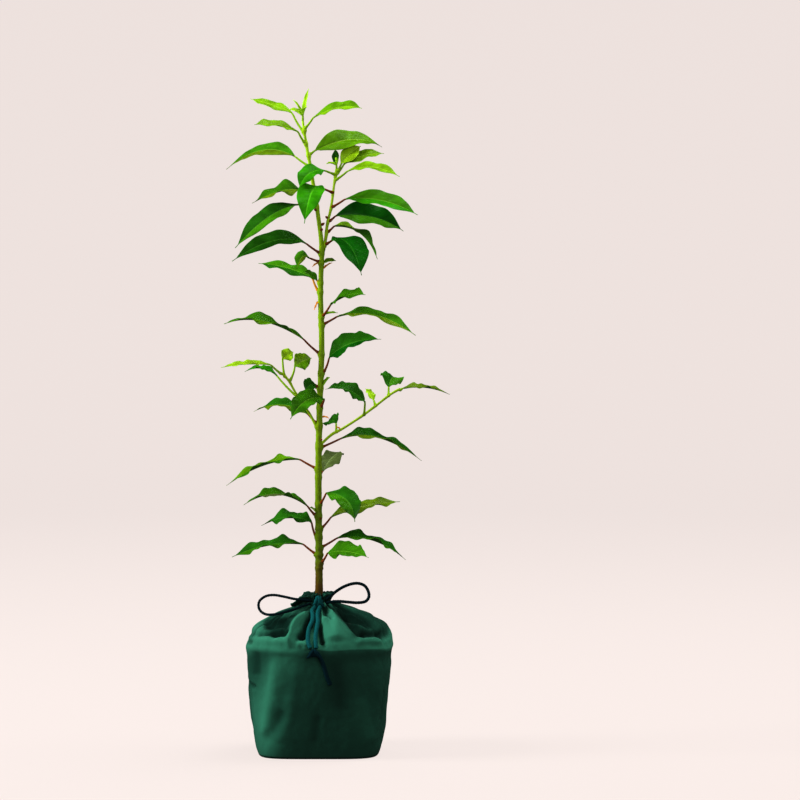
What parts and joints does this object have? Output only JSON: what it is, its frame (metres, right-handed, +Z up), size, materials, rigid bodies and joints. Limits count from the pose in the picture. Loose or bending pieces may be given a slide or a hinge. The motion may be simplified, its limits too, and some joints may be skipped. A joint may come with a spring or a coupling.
{
  "type": "sapling with root ball",
  "caption": "Young broad-leaved evergreen shrub with a forked stem, side twigs and wavy pointed leaves, its root ball wrapped in a cotton drawstring bag.",
  "frame": {"origin": "centre of the flat underside of the bag, under the foot of the trunk", "axes": "+Z up along the trunk, +X to the right and -Y to the front, where the bow is"},
  "size_m": [0.2277, 0.1524, 0.6629],
  "materials": {
    "stem_bark": "matt green stem, brown bark at the foot",
    "green_twig": "smooth soft green",
    "leaf": "glossy leathery leaf",
    "young_leaf": "satin young leaf",
    "cotton_bag": "matt cotton weave",
    "drawstring": "matt twisted cord"
  },
  "bodies": {
    "root": {"trunk": "stem_bark", "right_leader": "green_twig", "left_twig": "green_twig", "right_twig": "green_twig", "stem_leaf_01": "leaf", "stem_leaf_02": "leaf", "stem_leaf_03": "leaf", "stem_leaf_04": "leaf", "stem_leaf_05": "leaf", "stem_leaf_06": "leaf", "stem_leaf_07": "leaf", "stem_leaf_08": "leaf", "stem_leaf_09": "leaf", "stem_leaf_10": "leaf", "stem_leaf_11": "leaf", "stem_leaf_12": "leaf", "stem_leaf_13": "leaf", "stem_leaf_14": "leaf", "stem_leaf_15": "leaf", "stem_leaf_16": "leaf", "stem_leaf_17": "leaf", "stem_leaf_18": "leaf", "stem_leaf_19": "leaf", "stem_leaf_20": "leaf", "stem_leaf_21": "leaf", "stem_leaf_22": "leaf", "stem_leaf_23": "leaf", "stem_leaf_24": "leaf", "stem_leaf_25": "leaf", "stem_leaf_26": "young_leaf", "stem_leaf_27": "young_leaf", "stem_leaf_28": "young_leaf", "leader_leaf_01": "leaf", "leader_leaf_02": "leaf", "leader_leaf_03": "leaf", "leader_leaf_04": "leaf", "leader_leaf_05": "leaf", "leader_leaf_06": "young_leaf", "leader_leaf_07": "young_leaf", "leader_leaf_08": "young_leaf", "leader_leaf_09": "young_leaf", "left_twig_leaf_01": "young_leaf", "left_twig_leaf_02": "young_leaf", "left_twig_leaf_03": "young_leaf", "left_twig_leaf_04": "young_leaf", "right_twig_leaf_01": "leaf", "right_twig_leaf_02": "leaf", "right_twig_leaf_03": "leaf", "right_twig_leaf_04": "leaf", "right_twig_leaf_05": "young_leaf", "stem_tip": "young_leaf", "leader_tip": "young_leaf", "root_ball_bag": "cotton_bag", "bag_frill": "cotton_bag", "drawstring_knot": "drawstring", "drawstring_loop_left": "drawstring", "drawstring_loop_right": "drawstring", "drawstring_end_left": "drawstring", "drawstring_end_right": "drawstring", "drawstring_end_knot": "drawstring"}
  },
  "joints": []
}
